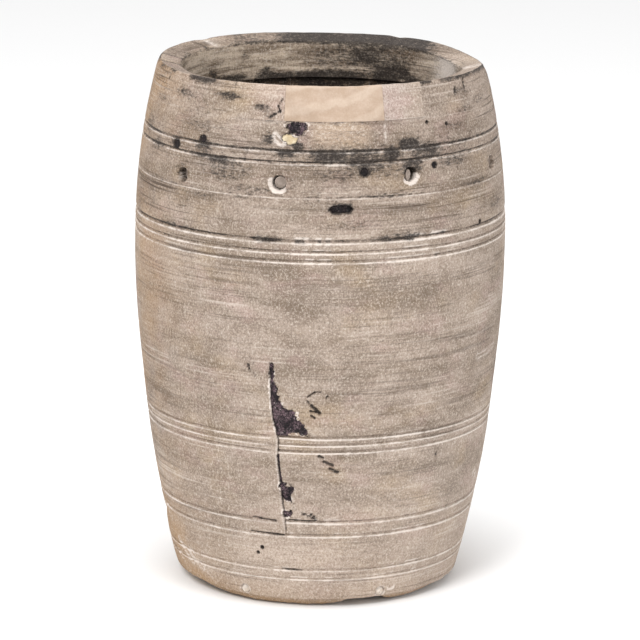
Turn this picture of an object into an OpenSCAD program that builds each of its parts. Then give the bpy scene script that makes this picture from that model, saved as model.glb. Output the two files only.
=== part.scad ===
// Barrel-shaped, peg-tensioned drum shell turned from one log, standing on its
// narrow end with its heads off. Millimetres, +Z up the turning axis, origin at
// the centre of the foot. Bearings are degrees round +Z from the front (-Y)
// towards +X.

/* [Shell] */
// Height from the foot to the rim
height = 400; // [360:5:440]
// Outer radius at the widest part of the belly
belly_r = 141; // [138:1:150]
// Height of the widest part of the belly
belly_z = 266; // [240:1:280]
// Outer radius at the rim
rim_r = 123; // [118:0.5:128]
// Outer radius of the foot before its edge is rounded
foot_r = 105.5; // [100:0.5:112]
// Rounding of the foot's worn edge
foot_round = 8; // [4:1:12]

/* [Hollow] */
// Width of the flat land on top of the rim
land_w = 2; // [1:0.5:5]
// Radius of the turned mouth inside the rim
mouth_r = 106; // [100:1:110]
// Fall of the chamfer from the land to the mouth
chamfer_fall = 4; // [2:1:8]
// Depth of the turned mouth below the rim
mouth_depth = 32; // [26:1:40]
// Largest radius of the hollow
hollow_r = 116; // [110:1:118]
// Height of the hollow's largest radius
hollow_z = 240; // [220:5:260]
// Radius of the hollow just below the turned mouth
throat_r = 110; // [107:1:112]
// Radius of the hollow at the foot
hollow_foot_r = 84; // [76:1:88]

/* [Turned bands] */
// Width of each groove at the surface
groove_w = 3; // [2:0.2:4]
// Depth of the grooves
groove_depth = 1.3; // [0.6:0.1:2]

/* [Peg ring] */
// Height of the ring of skin pegs
peg_z = 332; // [320:1:345]
// Radius of the peg holes
peg_r = 5; // [4:0.5:7]
// How far each broken peg ends below the outside
peg_recess = 3; // [1:0.5:6]

/* [Rim repair] */
// Height of the new blocks let into the rim
block_h = 25; // [16:1:26]

/* [Pitch and putty] */
// Depth of the pockets that are packed with pitch
pitch_depth = 10; // [8:1:14]
// How far the pitch in the long slot lies below the outside
slot_recess = 2; // [1:0.5:3]

/* [Foot] */
// Height of the ring of plugs above the foot
plug_z = 11; // [10:0.5:16]
// Radius of the plugs
plug_r = 3.4; // [2:0.2:4]
// Length of the plugs
plug_l = 14; // [8:1:18]
// How far each plug ends below the outside
plug_recess = 1; // [0.5:0.5:3]
// Height of the piece broken off the foot's edge
chip_h = 7; // [2:1:7]

/* [Hidden] */
groove_zs = [354, 345.5, 288.5, 280.5, 273.5, 138.5, 133, 127.5, 71, 60, 31.5, 24];
peg_bearings = [-48, -13, 29, 69, 111, 150, 190, 232, 272];
peg_lifts = [-4, -1.5, 3, -1, 1, 0, -1, 1, 0];
plug_bearings = [-30, 26, 85, 146, 205, 270];
block_bearings = [-30, -12, 21, 36];
block_names = ["rim_block_left", "rim_block_middle", "rim_block_right"];

upper_arc = arc_radius(belly_r - rim_r, height - belly_z);
lower_arc = arc_radius(belly_r - foot_r, belly_z);
throat_z = height - mouth_depth;
hollow_upper_arc = arc_radius(hollow_r - throat_r, throat_z - hollow_z);
hollow_lower_arc = arc_radius(hollow_r - hollow_foot_r, hollow_z);
foot_edge_r = outer_r(foot_round) - foot_round + 0.5;
block_z = height - block_h;
peg_inner_r = 114;
chip_from = 10;
chip_to = 66;
far = 300;
overrun = 1;
round_fn = 360;
hole_fn = 48;

// Radius of the arc that falls by drop over a run measured from its crown
function arc_radius(drop, run) = (run * run + drop * drop) / (2 * drop);

// Outer radius of the turned shell at height z
function outer_r(z) =
    let (arc = z > belly_z ? upper_arc : lower_arc)
    belly_r - arc + sqrt(arc * arc - (z - belly_z) * (z - belly_z));

// Height of one peg hole: the ring was bored by hand and wanders
function peg_height(i) = peg_z + peg_lifts[i - 1];

// Unit vector on the plan at a bearing
function toward(bearing) = [sin(bearing), -cos(bearing)];

// Half section of a barrel whose two arcs share a crown at radius crown_r
module barrel_section(crown_r, crown_z, upper, lower, top) {
    intersection() {
        translate([crown_r - upper, crown_z]) circle(r = upper, $fn = 720);
        translate([0, crown_z]) square([crown_r + overrun, top - crown_z]);
    }
    intersection() {
        translate([crown_r - lower, crown_z]) circle(r = lower, $fn = 720);
        square([crown_r + overrun, crown_z]);
    }
}

// Half section of the outside, with the foot's edge rounded
module outside_section() {
    difference() {
        barrel_section(belly_r, belly_z, upper_arc, lower_arc, height);
        difference() {
            translate([foot_edge_r, -overrun]) square([foot_round * 2, foot_round + overrun]);
            translate([foot_edge_r, foot_round]) circle(r = foot_round, $fn = 96);
        }
    }
}

// Half section of the hollow: carved bore, turned mouth and the rim's chamfer
module hollow_section() {
    barrel_section(hollow_r, hollow_z, hollow_upper_arc, hollow_lower_arc, throat_z);
    translate([0, -overrun]) square([hollow_foot_r, overrun * 2]);
    land_r = rim_r - land_w;
    polygon([
        [0, throat_z - overrun], [mouth_r, throat_z - overrun], [mouth_r, height - chamfer_fall],
        [land_r, height], [land_r, height + overrun], [0, height + overrun]
    ]);
}

// Half section of the grooves that band the outside
module groove_sections() {
    for (z = groove_zs)
        translate([outer_r(z), z])
            polygon([
                [-groove_depth, -groove_w / 8], [groove_depth, -groove_w],
                [groove_depth, groove_w], [-groove_depth, groove_w / 8]
            ]);
}

// The turned wall, with or without its grooves
module wall(grooved = false) {
    rotate_extrude($fn = round_fn) difference() {
        outside_section();
        hollow_section();
        if (grooved) groove_sections();
    }
}

// Puts a shape drawn with x along the surface, y up and z outward at a bearing
module at_bearing(bearing, z) {
    rotate([0, 0, bearing]) translate([0, 0, z]) rotate([90, 0, 0]) children();
}

// Sector of the plan between two bearings, from z upwards
module sector(from, to, z, h) {
    middle = (from + to) / 2;
    translate([0, 0, z]) linear_extrude(h)
        polygon([[0, 0], far * toward(from), far * toward(middle), far * toward(to)]);
}

// Pocket cut square into the outside, with an outline given by the children
module pocket(bearing, z, depth) {
    at_bearing(bearing, z)
        translate([0, 0, outer_r(z) - depth]) linear_extrude(depth * 3) children();
}

// Filler that packs a pocket flush with the outside
module filler(bearing, z, depth) {
    intersection() {
        wall();
        pocket(bearing, z, depth) children();
    }
}

// Outlines, each centred on its pocket
module split_upper_outline() {
    polygon([
        [-14.6, 44.5], [-13.2, 41], [-12.8, 37], [-13.2, 32], [-11, 27.5], [-10.5, 21],
        [-9, 17], [-7.5, 12.5], [-2, 9], [3, 7.5], [4.5, 3], [9.5, -1.5], [12, -5.5],
        [13.5, -9], [9, -9.6], [6, -7], [0, -7.5], [-3, -9.5], [-8.5, -9.5], [-10, -7],
        [-12, 3], [-13.5, 13], [-14, 20.5], [-14.2, 34]
    ]);
}
module split_middle_outline() {
    polygon([
        [-5, 7], [-2, 6.5], [0.5, 3.5], [4, 4.5], [4, 0.5], [1.5, -3], [2.5, -6],
        [-0.5, -5.5], [-3.5, -2.5], [-4.5, 3]
    ]);
}
module split_lower_outline() {
    polygon([[-3, 2.4], [0, 1.8], [3, 0.4], [2.2, -2.2], [-0.2, -2.4], [-3, -0.2]]);
}
module seam_outline() {
    polygon([[-1.8, 12], [-0.4, 12], [0.4, 0], [1.6, -10], [0.4, -10], [-0.8, 0]]);
}
module slot_outline() {
    hull() {
        translate([-6.5, -0.5]) circle(r = 2.6, $fn = 24);
        translate([6.5, 0]) circle(r = 2.4, $fn = 24);
        translate([0, 0.5]) circle(r = 3, $fn = 24);
    }
}
module rim_pitch_outline() {
    polygon([
        [-6.7, 2.4], [-3, 3.6], [2.8, 3.9], [7.2, 3.5], [8, -0.7], [5.3, -4.3],
        [0.3, -5.2], [-4.2, -3.2]
    ]);
}
module putty_outline() {
    polygon([[-4.9, 3], [0.3, 4], [5.5, 1.5], [5, -2], [-0.9, -3], [-4.7, -0.3]]);
}
module spot_outline(r) {
    circle(r = r, $fn = 32);
}

// Placed fillers: which = "pocket" cuts the shell, "filler" makes the piece
module place(which, bearing, z, depth = pitch_depth) {
    if (which == "pocket") pocket(bearing, z, depth) children();
    if (which == "filler") filler(bearing, z, depth) children();
}
module split_upper(which) place(which, -9, 150) split_upper_outline();
module split_middle(which) place(which, -10.5, 94) split_middle_outline();
module split_lower(which) place(which, -10.6, 77) split_lower_outline();
module seam(which) place(which, -12.8, 112) seam_outline();
module slot(which) place(which, 6.5, 312) slot_outline();
module rim_pit(which) place(which, -8, 370.5) rim_pitch_outline();
module rim_putty_patch(which) place(which, -10, 361.5) putty_outline();
module spot_left(which) place(which, -52.5, 349) spot_outline(3);
module spot_upper(which) place(which, -40.5, 356.5) spot_outline(2.6);
module spot_middle(which) place(which, 13.7, 338.5) spot_outline(2.8);
module spot_right(which) place(which, 38, 339.5) spot_outline(1.8);

module fillings(which) {
    split_upper(which);
    split_middle(which);
    split_lower(which);
    seam(which);
    slot(which);
    rim_pit(which);
    rim_putty_patch(which);
    spot_left(which);
    spot_upper(which);
    spot_middle(which);
    spot_right(which);
}

// Notch for the rim blocks
module rim_notch() {
    sector(block_bearings[0], block_bearings[len(block_bearings) - 1], block_z, block_h + overrun);
}

// Piece broken off the foot's edge at the front right
module foot_chip() {
    chip_middle = (chip_from + chip_to) / 2;
    chord_r = foot_r * cos((chip_to - chip_from) / 2);
    rotate([0, 0, chip_middle]) translate([-far / 2, -far - chord_r, -overrun])
        cube([far, far, chip_h + overrun]);
}

module shell() {
    color([0.70, 0.65, 0.58]) difference() {
        wall(grooved = true);
        rim_notch();
        foot_chip();
        fillings("pocket");
        for (i = [1 : len(peg_bearings)])
            at_bearing(peg_bearings[i - 1], peg_height(i)) cylinder(r = peg_r, h = far, $fn = hole_fn);
        for (bearing = plug_bearings)
            at_bearing(bearing, plug_z)
                translate([0, 0, outer_r(plug_z) - plug_l]) cylinder(r = plug_r, h = far, $fn = hole_fn);
    }
}

module rim_block(i) {
    tints = [[0.74, 0.69, 0.64], [0.87, 0.78, 0.68], [0.79, 0.74, 0.70]];
    color(tints[i]) intersection() {
        wall();
        sector(block_bearings[i], block_bearings[i + 1], block_z, block_h + overrun);
    }
}

module peg_stub(i) {
    stub_l = outer_r(peg_z) - peg_recess - peg_inner_r;
    color([0.62, 0.58, 0.54]) at_bearing(peg_bearings[i - 1], peg_height(i))
        translate([0, 0, peg_inner_r]) cylinder(r = peg_r, h = stub_l, $fn = hole_fn);
}

module foot_plug(i) {
    color([0.90, 0.86, 0.80]) at_bearing(plug_bearings[i - 1], plug_z)
        translate([0, 0, outer_r(plug_z) - plug_l])
            cylinder(r = plug_r, h = plug_l - plug_recess, $fn = hole_fn);
}

module split_pitch_upper() { color([0.16, 0.13, 0.15]) split_upper("filler"); }
module split_pitch_middle() { color([0.16, 0.13, 0.15]) split_middle("filler"); }
module split_pitch_lower() { color([0.16, 0.13, 0.15]) split_lower("filler"); }
module seam_pitch() { color([0.16, 0.13, 0.15]) seam("filler"); }
module rim_pitch() { color([0.14, 0.12, 0.13]) rim_pit("filler"); }
module rim_putty() { color([0.84, 0.78, 0.58]) rim_putty_patch("filler"); }
module pitch_spot_left() { color([0.14, 0.12, 0.13]) spot_left("filler"); }
module pitch_spot_upper() { color([0.14, 0.12, 0.13]) spot_upper("filler"); }
module pitch_spot_middle() { color([0.14, 0.12, 0.13]) spot_middle("filler"); }
module pitch_spot_right() { color([0.14, 0.12, 0.13]) spot_right("filler"); }

// The pitch in the long slot stops short of the surface
module slot_pitch() {
    slot_bearing = 6.5;
    slot_z = 312;
    color([0.14, 0.12, 0.13]) at_bearing(slot_bearing, slot_z)
        translate([0, 0, outer_r(slot_z) - pitch_depth])
            linear_extrude(pitch_depth - slot_recess) slot_outline();
}

shell();
for (i = [0 : len(block_names) - 1])
    rim_block(i);
for (i = [1 : len(peg_bearings)])
    peg_stub(i);
for (i = [1 : len(plug_bearings)])
    foot_plug(i);
split_pitch_upper();
split_pitch_middle();
split_pitch_lower();
seam_pitch();
slot_pitch();
rim_pitch();
rim_putty();
pitch_spot_left();
pitch_spot_upper();
pitch_spot_middle();
pitch_spot_right();
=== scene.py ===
"""Looks for a barrel drum shell turned from one log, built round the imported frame.

Metres, +Z up. Bearings are degrees round +Z from the front (-Y) towards +X.
"""
import math
from dataclasses import dataclass

import bmesh
import bpy
from mathutils import Euler, Matrix, Vector, noise


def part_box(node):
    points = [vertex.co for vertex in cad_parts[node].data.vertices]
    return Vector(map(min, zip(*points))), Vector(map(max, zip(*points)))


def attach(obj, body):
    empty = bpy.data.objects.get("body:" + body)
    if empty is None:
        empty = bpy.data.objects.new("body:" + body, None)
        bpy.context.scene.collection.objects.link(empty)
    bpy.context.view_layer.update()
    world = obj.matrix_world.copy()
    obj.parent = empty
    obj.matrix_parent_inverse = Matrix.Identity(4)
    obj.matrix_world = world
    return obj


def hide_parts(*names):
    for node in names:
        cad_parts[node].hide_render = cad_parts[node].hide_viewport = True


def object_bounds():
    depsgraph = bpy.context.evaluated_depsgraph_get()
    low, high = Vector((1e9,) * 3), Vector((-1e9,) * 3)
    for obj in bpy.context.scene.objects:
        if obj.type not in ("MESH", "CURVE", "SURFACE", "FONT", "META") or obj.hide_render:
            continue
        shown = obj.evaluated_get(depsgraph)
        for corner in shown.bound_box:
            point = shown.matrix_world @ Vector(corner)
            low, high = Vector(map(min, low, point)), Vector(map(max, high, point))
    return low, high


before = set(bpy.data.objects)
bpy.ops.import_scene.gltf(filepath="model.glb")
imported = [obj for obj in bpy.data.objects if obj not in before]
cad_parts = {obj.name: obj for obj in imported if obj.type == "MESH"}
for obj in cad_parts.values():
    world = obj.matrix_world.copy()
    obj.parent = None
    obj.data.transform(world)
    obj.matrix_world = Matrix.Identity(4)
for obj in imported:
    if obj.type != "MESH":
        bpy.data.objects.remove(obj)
cad_low, cad_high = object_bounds()

MM = 0.001

# ---------------------------------------------------------------- the turned shape
HEIGHT = cad_high.z
BELLY_R = cad_high.x
BELLY_Z = 266 * MM
RIM_R = 123 * MM
FOOT_R = 105.5 * MM
FOOT_ROUND = 8 * MM
LAND_W = 2 * MM
MOUTH_R = 106 * MM
CHAMFER_FALL = 4 * MM
LAND_R = RIM_R - LAND_W
LIP_Z = HEIGHT - CHAMFER_FALL
THROAT_Z = HEIGHT - 32 * MM
THROAT_R = 110 * MM
HOLLOW_R = 116 * MM
HOLLOW_Z = 240 * MM
HOLLOW_FOOT_R = 84 * MM
BLOCK_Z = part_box("rim_block_middle")[0].z
BLOCK_BEARINGS = (-30, -12, 21, 36)
WAIST_Z = 165 * MM

# Each groove: height, depth and half width in mm, how chipped its lips are, how dark its floor is
# painted (grime and painted shade)
GROOVES = (
    (354, 1.1, 1.2, 0.5, 0.9), (345.5, 1.1, 1.2, 0.5, 0.9), (320.5, 0.3, 0.8, 0, 0.35),
    (288.5, 1.6, 1.6, 1, 1), (280.5, 1.2, 1.3, 0.6, 0.75), (273.5, 1.2, 1.3, 0.6, 0.6),
    (138.5, 1.4, 1.3, 0.35, 0.35), (133, 1.2, 1.1, 0.3, 0.3), (127.5, 1.4, 1.3, 0.4, 0.3),
    (71, 1.5, 1.4, 0.6, 0.45), (60, 1.3, 1.3, 0.5, 0.45), (31.5, 1, 1.1, 0.7, 0.3),
    (24, 0.9, 1, 0.7, 0.3),
)

# What has broken off the foot's edge at the front right: bearing, height in mm
BROKEN_FOOT = (
    (-3, 0), (4, 1.5), (9, 3.5), (12, 5.5), (16, 6.2), (27, 6), (31, 2.8), (37, 2), (41, 3.2),
    (49, 3), (54, 3.8), (60, 5.8), (68, 7.5), (78, 4), (90, 0),
)
FOOT_REACH = 20 * MM

PEG_R = 5 * MM
STUB_LENGTH = 17 * MM
FILLING_DEPTH = 6 * MM

# How deep the holes in the wall look, in mm
PEG_HOLE_DEPTH = 9
PLUG_HOLE_DEPTH = 4
POCKET_DEPTH = 3.6
SPOT_DEPTH = 2.4
WORM_HOLE_DEPTH = 2.2


@dataclass
class Peg:
    """A peg hole: where it is, how its edge is chipped and what is left of its peg."""

    bearing: float
    height: float
    chip_way: float
    chip_size: float
    chip_spread: float
    deep: float
    radius: float
    across: float = 0.0
    up: float = 0.0
    squash: float = 1.0


# Millimetres, and degrees from the right for the way the edge is chipped
PEGS = (
    Peg(-47.8, 328, 200, 0.5, 0.0, 6.5, 4.6), Peg(-12.8, 330.6, 236, 3.6, -0.3, 0.3, 4.3, 1.2, 0.4),
    Peg(29.0, 335.0, -78, 3.4, -0.1, 0.8, 4.0, -1.9, -0.3, 0.5), Peg(69, 331, 120, 1.0, 0.0, 2.6, 4.6),
    Peg(111, 333, 250, 1.8, 0.0, 4.5, 4.5, 0.0, 0.2), Peg(150, 332, 30, 0.8, 0.0, 2.0, 4.6),
    Peg(190, 331, 300, 2.2, -0.2, 3.4, 4.4, 0.4), Peg(232, 333, 180, 1.0, 0.0, 5.0, 4.5),
    Peg(272, 332, 80, 1.4, 0.0, 2.4, 4.6, -0.1, 0.1),
)
PLUG_Z = 11 * MM
PLUG_R = 3.4 * MM
PLUG_LENGTH = 12 * MM
PLUG_BEARINGS = (-30, 26, 85, 146, 205, 270)


def arc_radius(drop, run):
    """Radius of the arc that falls by drop over a run measured from its crown."""
    return (run * run + drop * drop) / (2 * drop)


def barrel_r(z, crown_r, crown_z, top_r, top_z, bottom_r):
    """Radius at height z of a barrel drawn with two arcs that share a crown."""
    end_r, run = (top_r, top_z - crown_z) if z > crown_z else (bottom_r, crown_z)
    arc = arc_radius(crown_r - end_r, run)
    return crown_r - arc + math.sqrt(arc * arc - (z - crown_z) ** 2)


def outer_r(z):
    return barrel_r(z, BELLY_R, BELLY_Z, RIM_R, HEIGHT, FOOT_R)


def inner_r(z):
    if z > THROAT_Z:
        return MOUTH_R
    return barrel_r(z, HOLLOW_R, HOLLOW_Z, THROAT_R, THROAT_Z, HOLLOW_FOOT_R)


def at(bearing, radius, z):
    a = math.radians(bearing)
    return Vector((radius * math.sin(a), -radius * math.cos(a), z))


def bearing_of(point):
    return math.degrees(math.atan2(point.x, -point.y))


def turn(bearing, other):
    """Degrees from other to bearing, the short way round."""
    return (bearing - other + 180) % 360 - 180


def smooth(value, low, high):
    """0 below low, easing to 1 above high."""
    t = min(max((value - low) / (high - low), 0.0), 1.0)
    return t * t * (3 - 2 * t)


def fall(value, low, high):
    """1 below low, easing to 0 above high."""
    return 1 - smooth(value, low, high)


def bell(away, width):
    """1 at no distance away, easing to 0 over about twice the width."""
    return math.exp(-((away / width) ** 2))


def lumps(bearing, z, size, seed):
    """Smooth random value from -1 to 1 over the drum, in lumps about size mm across."""
    place = at(bearing, BELLY_R, z) / (size * MM)
    return noise.noise(place + Vector((seed, seed * 1.7, seed * 0.6)))


def local_mm(bearing, z, centre_bearing, centre_z):
    """Millimetres across and up from a place on the outside."""
    return (math.radians(turn(bearing, centre_bearing)) * outer_r(z) / MM, (z - centre_z) / MM)


# ---------------------------------------------------------------- wear and repairs
@dataclass
class Surface:
    """One point of the turned wood: how deep it is cut, in mm, and how it is marked."""

    bearing: float
    z: float
    depth: float = 0.0
    soot_and_shade: float = 0.0
    lime_and_highlight: float = 0.0
    tan: float = 0.0

    def lumps(self, size, seed):
        return lumps(self.bearing, self.z, size, seed)

    def turn(self, bearing):
        return turn(self.bearing, bearing)

    def away_from(self, bearing, z):
        """Millimetres along the surface from a place on it."""
        return math.hypot(*local_mm(self.bearing, self.z, bearing, z))


# The long split in the front: bearing and height down its length
SPLIT = (
    (-15.1, 195), (-14.9, 188), (-15, 178), (-14.9, 167), (-14.5, 155), (-13.6, 144), (-13, 136),
    (-13.2, 124), (-13, 114), (-12.4, 100), (-12.1, 88), (-11.7, 78), (-11.3, 66), (-11.3, 58),
)

# Pitch and putty let into the wood: bearing, height, how far below the surface, how
# ragged the pocket's edge is, outline. In mm.
FILLED = {
    "split_pitch_upper": (-9, 150, 1.1, 1, (
        (-14.6, 44.5), (-13.2, 41), (-12.8, 37), (-13.2, 32), (-11, 27.5), (-10.5, 21),
        (-9, 17), (-7.5, 12.5), (-2, 9), (3, 7.5), (4.5, 3), (9.5, -1.5), (12, -5.5),
        (13.5, -9), (9, -9.6), (6, -7), (0, -7.5), (-3, -9.5), (-8.5, -9.5), (-10, -7),
        (-12, 3), (-13.5, 13), (-14, 20.5), (-14.2, 34),
    )),
    "split_pitch_middle": (-10.5, 94, 0.9, 1, (
        (-5, 7), (-2, 6.5), (0.5, 3.5), (4, 4.5), (4, 0.5), (1.5, -3), (2.5, -6),
        (-0.5, -5.5), (-3.5, -2.5), (-4.5, 3),
    )),
    "split_pitch_lower": (-10.6, 77, 0.8, 1, (
        (-3, 2.4), (0, 1.8), (3, 0.4), (2.2, -2.2), (-0.2, -2.4), (-3, -0.2),
    )),
    "seam_pitch": (-12.8, 112, 1.7, 0.15, (
        (-1.8, 12), (-0.4, 12), (0.4, 0), (1.6, -10), (0.4, -10), (-0.8, 0),
    )),
    "slot_pitch": (6.5, 312, 2.4, 0.2, (
        (-9.4, 0.4), (-6, 2.6), (0, 3.4), (6.5, 2.4), (9, 0), (6.5, -2.4), (0, -2.6),
        (-6.5, -3),
    )),
    "rim_pitch": (-8, 370.5, 0.5, 1, (
        (-6.7, 2.4), (-3, 3.6), (2.8, 3.9), (7.2, 3.5), (8, -0.7), (5.3, -4.3),
        (0.3, -5.2), (-4.2, -3.2),
    )),
    "rim_putty": (-10, 361.5, 0.35, 0.6, (
        (-4.9, 3), (0.3, 4), (5.5, 1.5), (5, -2), (-0.9, -3), (-4.7, -0.3),
    )),
}

# Nail holes stopped with pitch: bearing, height, radius
SPOTS = {
    "pitch_spot_left": (-52.5, 349, 3), "pitch_spot_upper": (-40.5, 356.5, 2.6),
    "pitch_spot_middle": (13.7, 338.5, 2.8), "pitch_spot_right": (38, 339.5, 1.8),
}

# Worm and nail holes left open: bearing, height, radius
WORM_HOLES = (
    (-20.6, 48, 1.3), (-22.4, 43.4, 1.1), (36.6, 371, 1), (58, 291, 1.6), (45, 368, 1),
    (102, 210, 1.2), (118, 88, 1.3), (163, 300, 1.4), (171, 140, 1.1), (-150, 262, 1.3),
    (-128, 96, 1.2), (-101, 318, 1.1), (-86, 180, 1.2), (205, 60, 1.2),
)

# Cuts and scratches: two ends as bearing and height, width, depth, soot, lime
SCARS = (
    (-54.6, 393, -54.4, 388, 2, 2, 1, 0), (58, 396, 57.8, 391, 1.6, 2, 1, 0),
    (68.7, 363, 68.5, 357, 1.6, 2, 1, 0), (-65.8, 400, -64.6, 391, 1.5, 1.6, 0.7, 0.2),
    (51.3, 400, 52.7, 382, 1.3, 1.5, 0.7, 0), (43.2, 119, 43.2, 112, 1.2, 1, 0.8, 0),
    (51, 195, 69, 196.5, 1.8, 0.7, 0.3, 0.3), (47, 206.5, 72, 204.5, 1.8, 0.7, 0.3, 0.3),
    (60, 186, 73, 188, 3, 0.5, 0, 0.5), (-22.3, 193, -21.9, 189.5, 2.2, 1.2, 0.9, 0),
    (-22.2, 193.4, -20.4, 194.2, 1.3, 0.8, 0.8, 0.2), (-21.9, 189.5, -20, 185, 1.2, 0.8, 0.6, 0.3),
    (-3.4, 170.5, -1.2, 174.3, 1.6, 1.2, 0.9, 0), (-1.2, 174.3, 0.6, 174.6, 1.6, 1, 0.8, 0),
    (2.4, 170, 2.8, 171.5, 1.8, 1.2, 0.9, 0), (-3.6, 167.6, -3, 165.6, 1.6, 1.2, 0.9, 0),
    (-2.2, 163.8, 0.3, 158, 3.2, 1.8, 1, 0), (-2.6, 159.4, -0.6, 158.8, 2, 1.4, 1, 0),
    (-2.4, 156, -1.2, 154.2, 1.8, 1.4, 1, 0), (0.3, 124.2, 1.5, 123, 2.6, 1.4, 1, 0.2),
    (1.9, 119.7, 4.8, 117, 2.8, 1.6, 1, 0), (3.8, 114.2, 6.6, 111.7, 2.8, 1.6, 1, 0),
    (-5.7, 78.3, -3.2, 76, 1.8, 1.2, 1, 0.3), (-3.2, 76, -0.6, 72.6, 2, 1.2, 1, 0.2),
    (-10, 72.4, -1, 71.8, 1.4, 0.6, 0.9, 0), (-23, 72.6, -15, 71.2, 1.8, 0.6, 1, 0),
    (-24, 60.8, -12, 59.6, 1.6, 0.5, 0.9, 0), (-13.5, 31.8, -5.5, 31, 1.6, 0.5, 0.8, 0),
    (-9.8, 88, -8, 84.5, 1.2, 0.8, 0.7, 0.3), (30.2, 12.8, 31.6, 12.2, 2.4, 0.4, 0, 1),
    (-2.4, 77.2, -0.5, 74.5, 1.8, 1.2, 0.9, 0), (-8.8, 82.6, -7.4, 80.4, 1.2, 0.8, 0.6, 0.3),
    (71, 89, 74, 85, 2.4, 0.8, 0.2, 0.6), (-14.5, 363, -12.4, 359.5, 3.6, 0.5, 0, 1),
    (-12.8, 391, -14.2, 385, 1.4, 1.4, 0.9, 0.1), (-14.2, 385, -13.4, 381.5, 1.6, 1.4, 1, 0.2),
    (-13.4, 381.5, -16.8, 377.5, 1.8, 1.4, 1, 0.2), (21.1, 371.5, 21.4, 359, 1, 0.6, 0, 0.6),
    (-66, 36, -58, 22, 3.4, 1.4, 0, 0.5), (-58, 30, -52, 19, 3, 1.2, 0, 0.5),
    (-70, 24, -63, 13, 3.2, 1.4, 0, 0.4), (-74, 58, -72, 50, 4, 2, 0.1, 0.4),
    (-50, 20, -45, 12, 2.6, 1, 0.1, 0.4), (128, 250, 131, 196, 1.4, 1.6, 0.8, 0),
    (131, 196, 130, 150, 1, 1.2, 0.6, 0), (-118, 392, -116, 330, 1.2, 1.6, 0.8, 0),
    (172, 398, 171, 352, 1.2, 1.5, 0.7, 0), (-140, 24, -139, 84, 1.2, 1.6, 0.8, 0),
    (214, 232, 222, 229, 2.2, 0.8, 0.1, 0.5), (95, 120, 104, 112, 2.6, 0.9, 0.2, 0.5),
    (-104, 250, -98, 240, 2.4, 0.8, 0.1, 0.5),
)

# Dark stains outside: bearing, height, half width, half height, strength
STAINS = (
    (29, 357.5, 8, 4.5, 1), (23, 350.5, 6, 5, 0.8), (13, 347, 16, 8, 0.4), (20, 338, 22, 5, 0.35),
    (36, 351, 12, 6, 0.45), (-11, 352, 7, 3, 0.7), (-17, 362, 5, 4, 0.6), (-7, 357, 4, 3, 0.8),
    (2, 350.5, 12, 4.5, 0.75), (33, 344.5, 1.6, 1.6, 1), (30, 340, 9, 7, 0.6),
    (-48, 331, 8, 8, 0.35), (-40, 352, 9, 5, 0.5), (-53, 350, 7, 4, 0.4), (-64, 345, 12, 5, 0.35),
    (-58, 320, 26, 3, 0.16), (2, 318, 22, 9, 0.22), (-33, 331, 20, 2, 0.3),
    (-25, 318, 22, 2, 0.35), (-20, 384, 7, 3, 0.7), (-17, 379, 5, 4, 0.5), (46, 340, 18, 4, 0.4),
    (58, 322, 22, 3, 0.35), (20, 322, 24, 3, 0.4), (24, 290, 22, 3, 0.6), (-16, 289, 12, 3, 0.7),
    (-50, 290, 26, 2.5, 0.5), (55, 376, 12, 3, 0.35), (70, 300, 14, 6, 0.3),
    (-32, 390, 13, 2.6, 0.8), (-52, 387, 15, 3, 0.45), (-44, 397, 16, 2.5, 0.4),
    (-66, 379, 12, 3, 0.35), (56, 389, 14, 3, 0.4), (66, 380, 12, 3, 0.35), (48, 366, 16, 3, 0.3),
    (-40, 366, 20, 3, 0.3), (-30, 337, 22, 7, 0.4), (-22, 324, 24, 3, 0.42),
    (-38, 316, 16, 3, 0.35), (-48, 308, 14, 5, 0.25), (-36, 344, 18, 3, 0.45),
    (4, 336, 20, 5, 0.35), (-12, 331, 12, 9, 0.3), (10, 300, 26, 3, 0.35), (-75, 357, 10, 8, 0.3),
    (-70, 300, 22, 10, 0.18), (-60, 240, 26, 60, 0.14), (-46, 376, 22, 12, 0.16),
    (-22, 198, 10, 12, 0.16), (-28, 178, 9, 8, 0.14), (64, 200, 12, 12, 0.16),
    (-62, 176, 10, 14, 0.14), (130, 330, 36, 22, 0.4), (190, 300, 46, 26, 0.3),
    (-120, 345, 30, 14, 0.35), (235, 180, 30, 40, 0.2), (105, 60, 30, 26, 0.25),
    (160, 180, 36, 50, 0.15), (-160, 70, 30, 20, 0.25),
)

# Dark stains inside the mouth, written the same way
MOUTH_STAINS = (
    (-156, 376, 6, 2, 1), (-156, 371, 6, 2, 0.9), (142, 375, 4, 5, 0.8), (139, 369, 4, 3, 1),
    (172, 384, 34, 11, 0.62), (154, 386, 22, 12, 0.5), (140, 382, 16, 14, 0.42),
    (128, 378, 5, 7, 0.3), (-128, 378, 5, 4, 0.7), (-120, 384, 10, 8, 0.3),
    (160, 398, 60, 5, 1.25), (-148, 398, 18, 4, 0.75), (-130, 371, 30, 5, 0.55),
    (-72, 398, 34, 3, 0.3), (-104, 398, 12, 3, 0.4), (60, 398, 24, 3, 0.25),
    (-146, 386, 5, 4, 0.6), (150, 374, 16, 6, 0.6), (-100, 374, 16, 5, 0.35),
    (175, 370, 30, 4, 0.7), (-170, 369, 40, 3, 0.5), (-172, 398, 26, 4, 0.45),
    (-20, 385, 40, 12, 0.3),
)

# Nicks in the rim: bearing, depth in mm, where the nick's side begins and ends in degrees
RIM_NICKS = ((151, 1.9, 0.3, 1.5), (-131, 0.9, 1, 4), (-84, 0.8, 0.5, 2.5))

# Dark cracks across the chamfer: bearing, half width in degrees
CHAMFER_CRACKS = (
    (-84, 1.2), (-104, 0.8), (-124, 1.2), (-96, 0.7), (140, 1), (74, 0.9), (112, 0.8),
)


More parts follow.
